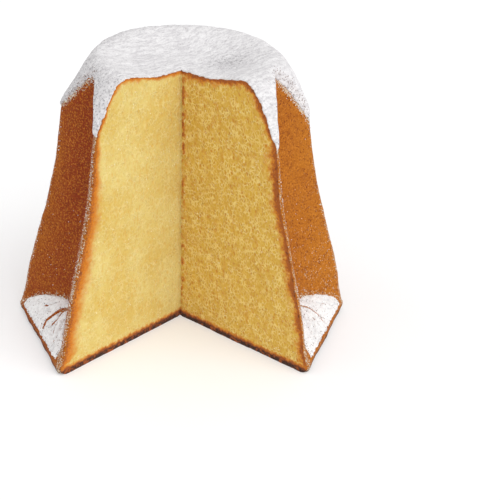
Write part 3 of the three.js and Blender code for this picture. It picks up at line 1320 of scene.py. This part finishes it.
@dataclass
class LedgeSugar:
    """The icing sugar on one ledge, with the cracks it got as the loaf settled.

    A crack is a line of points, each as its shares of the way across the ledge and up it. The cracks
    are at their widest on one ledge.
    """

    form: StarForm
    material: bpy.types.Material
    number: int
    across: int = 110
    along: int = 40
    run: Pair = (84, 27)
    cracks: tuple[tuple[Pair, ...], ...] = (
        ((0.518, 0.19), (0.509, 0.325), (0.536, 0.55), (0.555, 0.7), (0.618, 0.9)),
        ((0.618, 0.77), (0.636, 0.6), (0.636, 0.42)),
        ((0.7, 0.9), (0.78, 0.78), (0.84, 0.5), (0.83, 0.3)),
        ((0.4, 0.75), (0.35, 0.6), (0.28, 0.55)),
        ((0.7, 0.55), (0.73, 0.4), (0.77, 0.3)),
    )
    crack_widths: tuple[float, ...] = (3.7, 3.2, 1.9, 1.6, 1.9)
    cracked: int = 6
    faint: float = 0.5
    half_width: float = math.radians(19.5)
    thickness: float = 1.1
    sunk: float = 0.5

    @property
    def middle(self) -> float:
        """The azimuth of the middle of the ledge."""
        return (2 * self.number + 1) * self.form.half_point

    def crack(self, across: float, along: float) -> float:
        """How open the cracks are at a place on the ledge.

        Args:
            across: The share of the way round the ledge.
            along: The share of the way up it.

        Returns:
            0 where the sugar is whole, up to 1 in the middle of a crack.
        """
        strongest = self.number == self.cracked
        if self.number % 2:
            across = 1 - across
        if not strongest:
            across += 0.08 * math.sin(2.4 * self.number)
        wander = 0.9 * noise_at(across * 14, along * 5, 17.0 * self.number)
        wander += 0.7 * noise_at(across * 60, along * 20, 9.0 * self.number)
        place = Vector((across * self.run[0] + wander, along * self.run[1]))
        opened = 0.0
        broken = smooth(-0.3, 0.05, noise_at(across * 16, along * 6, 23.0 * self.number))
        for line, width in zip(self.cracks, self.crack_widths):
            width *= 1 if line is self.cracks[0] else broken
            width = max(width if strongest else self.faint * width, SMALL)
            corners = [Vector((u * self.run[0], v * self.run[1])) for u, v in line]
            for first, second in zip(corners, corners[1:]):
                _, share = geometry.intersect_point_line(place, first, second)
                nearest = first.lerp(second, clamp(share))
                opened = max(opened, clamp(1.6 - 1.6 * (place - nearest).length / width))
        return clamp(opened)

    def line(self, u: float) -> tuple[float, list[Pair]]:
        """The line up under the sugar, a share of the way round the ledge, with its azimuth."""
        azimuth = self.middle + (2 * u - 1) * self.half_width
        ragged = noise.noise(at(azimuth, 30, self.number)) + 0.8 * noise.noise(at(azimuth, 90, 7))
        low = self.form.ledge_rim + 1.1 + 0.9 * ragged
        high = self.form.ledge_top(azimuth) + 0.8 + 0.7 * noise.noise(at(azimuth, 45, 3))
        return azimuth, self.form.side_points(azimuth, low, high, self.along + 1)

    def powder(self, rim: float, place: Vector, u: float, v: float) -> float:
        """The thickness of the uncracked sugar at a place, which is thin at its rim and wrinkled."""
        lumps = 0.35 * noise.noise(place / 6) + 0.3 * noise.noise(place / 2.4)
        wrinkle = clamp(1 - abs(noise_at(u * 34, v * 3.2, self.number)) / 0.07)
        lumps -= 1.1 * wrinkle * smooth(0.1, 0.4, noise.noise(place / 9) + 0.25)
        return rim * (self.thickness + lumps) + 0.1 + 0.1 * noise.noise(place / 1.4)

    def build(self) -> None:
        """Makes the sugar on the ledge and settles it."""
        bm = bmesh.new()
        bmesh.ops.create_grid(bm, x_segments=self.across, y_segments=self.along, size=0.5)
        dust = bm.verts.layers.float.new(DUST)
        cover = bm.verts.layers.float.new(COVER)
        bm.verts.layers.int.new(NUMBER)
        spots = {vert: (vert.co.x + 0.5, vert.co.y + 0.5) for vert in bm.verts}
        lines: dict[int, tuple[float, list[Pair]]] = {}
        for vert, (u, v) in spots.items():
            column = round(u * self.across)
            if column not in lines:
                lines[column] = self.line(u)
            azimuth, line = lines[column]
            vert.co = at(azimuth, *line[round(v * self.along)])
            rim = min(smooth(0, 0.12, v), smooth(0, 0.07, 1 - v), smooth(0, 1, min(u, 1 - u) * 9))
            opened = self.crack(u, v)
            vert[cover] = self.powder(rim, vert.co, u, v) * (1 - opened) - 0.3 * opened
            vert[dust] = 0.8 * (1 - rim) + 0.08 + opened
        thicken(bm, self.sunk)
        piece = to_object(f"icing_sugar_on_ledge_{self.number}", bm, [self.material])
        shade_smooth(piece)
        settle(piece, Slot.SUGAR, f"icing_sugar_ledge_{self.number}")


@dataclass
class SugarGrains:
    """Loose grains and crumbs of sugar that cling to the crust."""

    form: StarForm
    material: bpy.types.Material
    seed: int = 8
    ridge_grains: int = 900
    border_grains: int = 900
    panel_grains: int = 500
    handful: int = 60
    smallest: float = 0.16
    largest: float = 0.36
    clear_of_cut: float = math.radians(44)
    ridge_scatter: float = math.radians(1.1)
    ridge_heights: Pair = (9, 150)
    border_scatter: float = 2.4
    panel_foot: float = 28
    panel_scatter: float = 40

    def spots(self, chance: random.Random) -> list[Vector]:
        """Where the grains lie."""
        form = self.form
        cut = form.spacing
        found = []
        for _ in range(self.ridge_grains):
            ridge = chance.choice((-cut, -cut, cut, 2 * cut, -2 * cut, 3 * cut, -3 * cut, 4 * cut))
            azimuth = ridge + chance.gauss(0, 1) * self.ridge_scatter
            found.append((azimuth, chance.uniform(*self.ridge_heights)))
        for _ in range(self.border_grains):
            azimuth = chance.uniform(cut, FULL_TURN - cut)
            below = abs(chance.gauss(0, self.border_scatter))
            found.append((azimuth, form.sugar_border(azimuth) - below))
        for _ in range(self.panel_grains):
            azimuth = chance.uniform(cut, FULL_TURN - cut)
            found.append((azimuth, self.panel_foot + abs(chance.gauss(0, self.panel_scatter))))
        return [
            at(azimuth, form.side_radius(azimuth, height), height)
            for azimuth, height in found
            if abs(from_opening(azimuth)) > self.clear_of_cut and height < form.shoulder(azimuth)[1]
        ]

    def tipped_out(self, handful: bmesh.types.BMesh, heap: bmesh.types.BMesh) -> bmesh.types.BMesh:
        """Adds a handful of grains to the heap, and gives an empty hand."""
        mesh = bpy.data.meshes.new("handful")
        handful.to_mesh(mesh)
        handful.free()
        heap.from_mesh(mesh)
        bpy.data.meshes.remove(mesh)
        return bmesh.new()

    def build(self) -> None:
        """Makes the grains and settles them."""
        chance = random.Random(self.seed)
        heap = bmesh.new()
        bm = bmesh.new()
        for number, spot in enumerate(self.spots(chance)):
            if number % self.handful == 0:
                bm = self.tipped_out(bm, heap)
            size = chance.uniform(self.smallest, self.largest) * chance.uniform(0.6, 1.2)
            shape = Matrix.Diagonal((chance.uniform(0.7, 1.4), chance.uniform(0.7, 1.4), 1, 1))
            turn = Matrix.Rotation(chance.uniform(0, 6.3), 4, "Z")
            place = Matrix.Translation(spot) @ turn @ shape
            bmesh.ops.create_icosphere(bm, subdivisions=1, radius=size, matrix=place)
        self.tipped_out(bm, heap).free()
        piece = to_object("loose_sugar_grains", heap, [self.material])
        settle(piece, Slot.SUGAR)


# ---------------- the set


@dataclass
class Studio:
    """Pale floor, even light all round, a broad key light from the right and a weak fill at the left."""

    floor_half: float = 6.0
    sky: float = 0.65
    key_azimuth: float = math.radians(44)
    key_elevation: float = math.radians(42)
    key_power: float = 1.65
    fill_azimuth: float = math.radians(-75)
    fill_elevation: float = math.radians(50)
    fill_power: float = 0.38
    spread: float = math.radians(70)

    def build(self) -> None:
        """Makes the floor and the lights."""
        bm = bmesh.new()
        bmesh.ops.create_grid(bm, x_segments=1, y_segments=1, size=self.floor_half / MM)
        floor = to_object("pale_floor", bm, [PaleFloor().material()])
        self.lamp("soft_key", self.key_azimuth, self.key_elevation, self.key_power)
        self.lamp("soft_fill", self.fill_azimuth, self.fill_elevation, self.fill_power)
        world = bpy.data.worlds.new("soft_light")
        world.use_nodes = True
        sky = world.node_tree.nodes["Background"]
        sky.inputs["Color"].default_value = (1, 1, 1, 1)
        sky.inputs["Strength"].default_value = self.sky
        bpy.context.scene.world = world
        bpy.context.scene.view_settings.view_transform = "Standard"

    def lamp(self, name: str, azimuth: float, elevation: float, power: float) -> None:
        """Makes one broad distant light.

        Args:
            name: The name of the light.
            azimuth, elevation: Where it shines from.
            power: Its strength in watts to the square metre.
        """
        light = bpy.data.lights.new(name, "SUN")
        light.energy = power
        light.angle = self.spread
        lamp = bpy.data.objects.new(name, light)
        towards = at(azimuth, math.cos(elevation), math.sin(elevation))
        lamp.location = towards
        lamp.rotation_euler = towards.to_track_quat("Z", "Y").to_euler()
        bpy.context.scene.collection.objects.link(lamp)


@dataclass
class Viewpoint:
    """The camera: a little above the table, looking into the missing quarter."""

    middle: float = 93.75
    distance: float = 753.0
    azimuth: float = math.radians(-0.72)
    elevation: float = math.radians(25.52)
    lens: float = 77.16
    sensor: float = 36.0
    look_right: float = math.radians(3.544)
    look_up: float = math.radians(-2.942)
    roll: float = math.radians(0.6)

    def build(self) -> None:
        """Makes the camera."""
        level = math.cos(self.elevation)
        back = at(self.azimuth, level, math.sin(self.elevation))
        forward = -back
        right = forward.cross(Vector((0, 0, 1))).normalized()
        upward = right.cross(forward)
        turned = Matrix.Rotation(-self.look_right, 3, upward)
        forward, right = turned @ forward, turned @ right
        tilted = Matrix.Rotation(self.look_up, 3, right)
        forward, upward = tilted @ forward, tilted @ upward
        rolled = Matrix.Rotation(self.roll, 3, -forward)
        right, upward = rolled @ right, rolled @ upward
        data = bpy.data.cameras.new("camera")
        data.lens = self.lens
        data.sensor_width = self.sensor
        camera = bpy.data.objects.new("camera", data)
        place = Matrix((right, upward, -forward)).transposed().to_4x4()
        place.translation = (Vector((0, 0, self.middle)) + back * self.distance) * MM
        camera.matrix_world = place
        bpy.context.scene.collection.objects.link(camera)
        bpy.context.scene.camera = camera


def main() -> None:
    """Builds the looks of the loaf around its frame."""
    logging.basicConfig(level=logging.INFO, format="%(name)s %(message)s")
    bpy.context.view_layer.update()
    form = StarForm()
    knife = Knife()
    BakedLoaf(form, knife).build()
    SugarCap(form, knife, IcingSugar()).build()
    powder = PAINTED_LIGHT_LEDGE_SUGAR.material()
    for number in range(1, form.points - 1):
        LedgeSugar(form, powder, number).build()
    SugarGrains(form, powder).build()
    Studio().build()
    Viewpoint().build()


if __name__ == "__main__":
    main()
